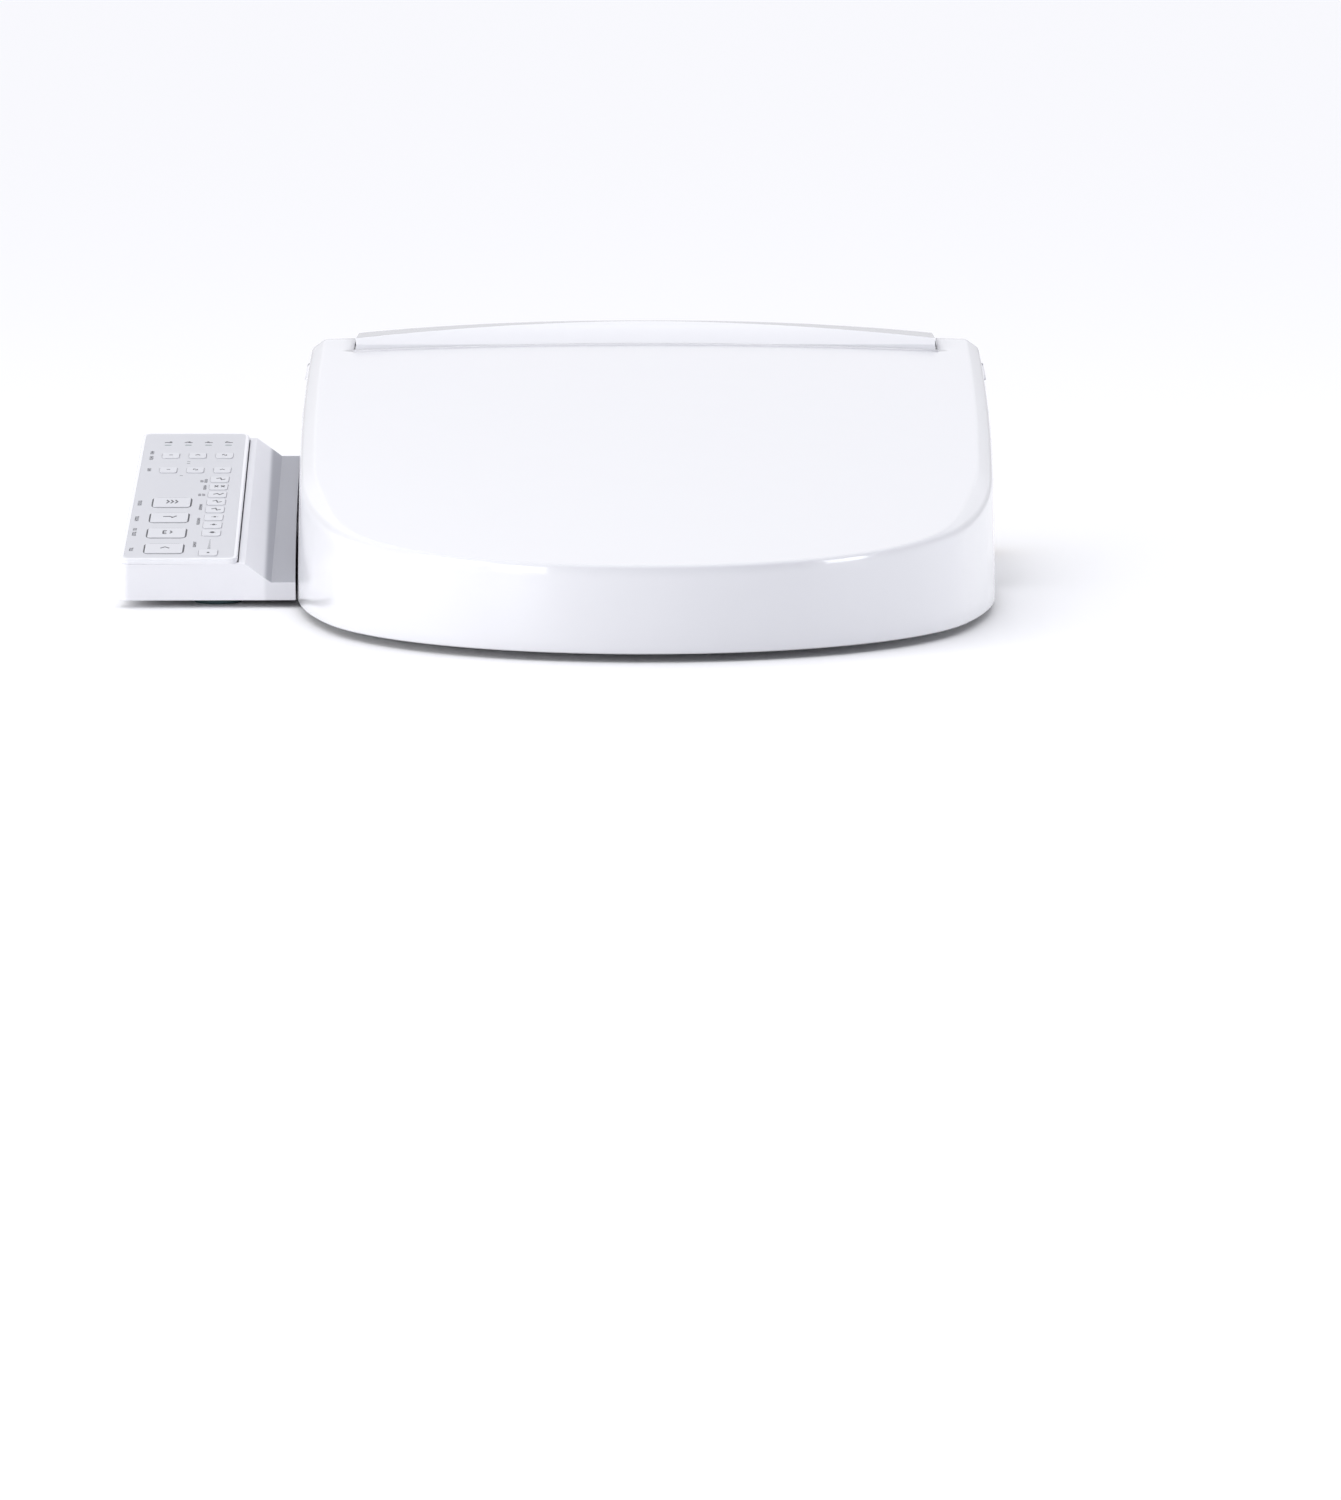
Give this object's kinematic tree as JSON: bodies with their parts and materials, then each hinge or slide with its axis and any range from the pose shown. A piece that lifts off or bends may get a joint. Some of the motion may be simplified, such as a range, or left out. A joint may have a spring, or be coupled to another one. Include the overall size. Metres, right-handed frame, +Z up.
{
  "type": "electric bidet seat",
  "caption": "White electric bidet toilet seat with a deep-skirted lid, heated ring, washing wand and a side control panel with keys.",
  "frame": {"origin": "midway between the two fixing bolt slots, on the rim plane of the bowl", "axes": "+Z up, -Y towards the front of the seat, +X to the right as seen from the front"},
  "size_m": [0.492, 0.5224, 0.1367],
  "materials": {
    "white_gloss": "glossy white moulded plastic",
    "white_matte": "plain white moulded plastic",
    "panel_grey": "satin very light grey",
    "panel_film": "satin printed film",
    "key_grey": "satin printed key cap",
    "grey_rubber": "soft moulded rubber",
    "black_rubber": "black rubber",
    "dark_plastic": "dark engineering plastic",
    "steel": "plain steel",
    "wand_white": "smooth white plastic",
    "brass": "machined brass",
    "board_green": "solder-masked board",
    "lamp": "diffusing light pipe",
    "smoked": "dark window"
  },
  "bodies": {
    "main_unit": {"base_pads": "grey_rubber", "base_tray": "white_matte", "blower_housing": "white_matte", "casing_screws": "steel", "cord_gland": "black_rubber", "dryer_duct": "white_matte", "hinge_shafts": "steel", "inlet_valve": "dark_plastic", "main_circuit_board": "board_green", "nozzle_cradle": "white_matte", "panel_circuit_board": "board_green", "panel_foot": "grey_rubber", "panel_lights": "lamp", "panel_lower_case": "white_gloss", "panel_overlay": "panel_film", "panel_upper_case": "panel_grey", "power_supply": "dark_plastic", "sensor_window": "smoked", "soft_close_dampers": "dark_plastic", "top_cover": "white_gloss", "wand_motor": "steel", "water_heater": "dark_plastic", "water_hoses": "black_rubber", "water_inlet": "brass"},
    "lid": {"lid_cover": "white_gloss", "lid_liner": "white_matte", "lid_bumpers": "grey_rubber"},
    "seat": {"seat_top_shell": "white_gloss", "seat_bottom_shell": "white_gloss", "seat_hinge_arms": "white_gloss", "seat_heater": "steel", "seat_bumpers": "grey_rubber"},
    "wand": {"nozzle_wand": "wand_white", "nozzle_shield": "white_gloss"},
    "pinion": {"wand_pinion": "white_matte"},
    "impeller": {"blower_impeller": "white_matte"},
    "dryer_flap": {"dryer_flap": "white_gloss"},
    "filter": {"deodoriser_filter": "white_gloss"},
    "plate": {"mounting_plate": "dark_plastic"},
    "release": {"release_button": "white_gloss"},
    "drain": {"drain_plug": "white_matte"},
    "key_air_heat": {"key_air_heat": "key_grey"},
    "key_auto_clean": {"key_auto_clean": "key_grey"},
    "key_back": {"key_back": "key_grey"},
    "key_child": {"key_child": "key_grey"},
    "key_dryer": {"key_dryer": "key_grey"},
    "key_forward": {"key_forward": "key_grey"},
    "key_front_wash": {"key_front_wash": "key_grey"},
    "key_power": {"key_power": "key_grey"},
    "key_pressure_down": {"key_pressure_down": "key_grey"},
    "key_pressure_up": {"key_pressure_up": "key_grey"},
    "key_pulse": {"key_pulse": "key_grey"},
    "key_rear_wash": {"key_rear_wash": "key_grey"},
    "key_seat_heat": {"key_seat_heat": "key_grey"},
    "key_stop": {"key_stop": "key_grey"},
    "key_sweep": {"key_sweep": "key_grey"},
    "key_user_1": {"key_user_1": "key_grey"},
    "key_user_2": {"key_user_2": "key_grey"},
    "key_volume": {"key_volume": "key_grey"},
    "key_water_heat": {"key_water_heat": "key_grey"}
  },
  "joints": [
    {"name": "seat_hinge", "type": "hinge", "parent": "main_unit", "child": "seat", "pos_m": [0, 0.038, 0.112], "axis": [-1, 0, 0], "range_deg": [0, 93]},
    {"name": "lid_hinge", "type": "hinge", "parent": "seat", "child": "lid", "pos_m": [0, 0.038, 0.112], "axis": [1, 0, 0], "range_deg": [-100, 0]},
    {"name": "nozzle_slide", "type": "slide", "parent": "main_unit", "child": "wand", "axis": [0, -0.9272, -0.3746], "range_m": [0, 0.115]},
    {"name": "pinion_turn", "type": "hinge", "parent": "main_unit", "child": "pinion", "pos_m": [0, -0.03929, 0.08878], "axis": [-1, 0, 0], "range_deg": [0, 825]},
    {"name": "blower_spin", "type": "hinge", "parent": "main_unit", "child": "impeller", "pos_m": [0.092, -0.02, 0.05], "axis": [0, 1, 0], "continuous": true},
    {"name": "dryer_flap_hinge", "type": "hinge", "parent": "main_unit", "child": "dryer_flap", "pos_m": [0.062, -0.1178, 0.0534], "axis": [-1, 0, 0], "range_deg": [0, 50], "stiffness_Nm_per_rad": 0.002},
    {"name": "filter_slide", "type": "slide", "parent": "main_unit", "child": "filter", "axis": [1, 0, 0], "range_m": [0, 0.04]},
    {"name": "plate_slide", "type": "slide", "parent": "main_unit", "child": "plate", "axis": [0, 1, 0], "range_m": [0, 0.06]},
    {"name": "release_press", "type": "slide", "parent": "main_unit", "child": "release", "axis": [1, 0, 0], "range_m": [0, 0.003], "stiffness_N_per_m": 800},
    {"name": "drain_turn", "type": "hinge", "parent": "main_unit", "child": "drain", "pos_m": [-0.184, 0.024, 0.0132], "axis": [-1, 0, 0], "range_deg": [0, 90]},
    {"name": "key_air_heat_press", "type": "slide", "parent": "main_unit", "child": "key_air_heat", "axis": [0, 0.2785, -0.9604], "range_m": [0, 0.0006], "stiffness_N_per_m": 600},
    {"name": "key_auto_clean_press", "type": "slide", "parent": "main_unit", "child": "key_auto_clean", "axis": [0, 0.2785, -0.9604], "range_m": [0, 0.0006], "stiffness_N_per_m": 600},
    {"name": "key_back_press", "type": "slide", "parent": "main_unit", "child": "key_back", "axis": [0, 0.2785, -0.9604], "range_m": [0, 0.0006], "stiffness_N_per_m": 600},
    {"name": "key_child_press", "type": "slide", "parent": "main_unit", "child": "key_child", "axis": [0, 0.2785, -0.9604], "range_m": [0, 0.0006], "stiffness_N_per_m": 600},
    {"name": "key_dryer_press", "type": "slide", "parent": "main_unit", "child": "key_dryer", "axis": [0, 0.2785, -0.9604], "range_m": [0, 0.0006], "stiffness_N_per_m": 600},
    {"name": "key_forward_press", "type": "slide", "parent": "main_unit", "child": "key_forward", "axis": [0, 0.2785, -0.9604], "range_m": [0, 0.0006], "stiffness_N_per_m": 600},
    {"name": "key_front_wash_press", "type": "slide", "parent": "main_unit", "child": "key_front_wash", "axis": [0, 0.2785, -0.9604], "range_m": [0, 0.0006], "stiffness_N_per_m": 600},
    {"name": "key_power_press", "type": "slide", "parent": "main_unit", "child": "key_power", "axis": [0, 0.2785, -0.9604], "range_m": [0, 0.0006], "stiffness_N_per_m": 600},
    {"name": "key_pressure_down_press", "type": "slide", "parent": "main_unit", "child": "key_pressure_down", "axis": [0, 0.2785, -0.9604], "range_m": [0, 0.0006], "stiffness_N_per_m": 600},
    {"name": "key_pressure_up_press", "type": "slide", "parent": "main_unit", "child": "key_pressure_up", "axis": [0, 0.2785, -0.9604], "range_m": [0, 0.0006], "stiffness_N_per_m": 600},
    {"name": "key_pulse_press", "type": "slide", "parent": "main_unit", "child": "key_pulse", "axis": [0, 0.2785, -0.9604], "range_m": [0, 0.0006], "stiffness_N_per_m": 600},
    {"name": "key_rear_wash_press", "type": "slide", "parent": "main_unit", "child": "key_rear_wash", "axis": [0, 0.2785, -0.9604], "range_m": [0, 0.0006], "stiffness_N_per_m": 600},
    {"name": "key_seat_heat_press", "type": "slide", "parent": "main_unit", "child": "key_seat_heat", "axis": [0, 0.2785, -0.9604], "range_m": [0, 0.0006], "stiffness_N_per_m": 600},
    {"name": "key_stop_press", "type": "slide", "parent": "main_unit", "child": "key_stop", "axis": [0, 0.2785, -0.9604], "range_m": [0, 0.0006], "stiffness_N_per_m": 600},
    {"name": "key_sweep_press", "type": "slide", "parent": "main_unit", "child": "key_sweep", "axis": [0, 0.2785, -0.9604], "range_m": [0, 0.0006], "stiffness_N_per_m": 600},
    {"name": "key_user_1_press", "type": "slide", "parent": "main_unit", "child": "key_user_1", "axis": [0, 0.2785, -0.9604], "range_m": [0, 0.0006], "stiffness_N_per_m": 600},
    {"name": "key_user_2_press", "type": "slide", "parent": "main_unit", "child": "key_user_2", "axis": [0, 0.2785, -0.9604], "range_m": [0, 0.0006], "stiffness_N_per_m": 600},
    {"name": "key_volume_press", "type": "slide", "parent": "main_unit", "child": "key_volume", "axis": [0, 0.2785, -0.9604], "range_m": [0, 0.0006], "stiffness_N_per_m": 600},
    {"name": "key_water_heat_press", "type": "slide", "parent": "main_unit", "child": "key_water_heat", "axis": [0, 0.2785, -0.9604], "range_m": [0, 0.0006], "stiffness_N_per_m": 600}
  ],
  "couplings": [
    {"joint": "pinion_turn", "follows": "nozzle_slide", "rad_per_m": 125}
  ]
}
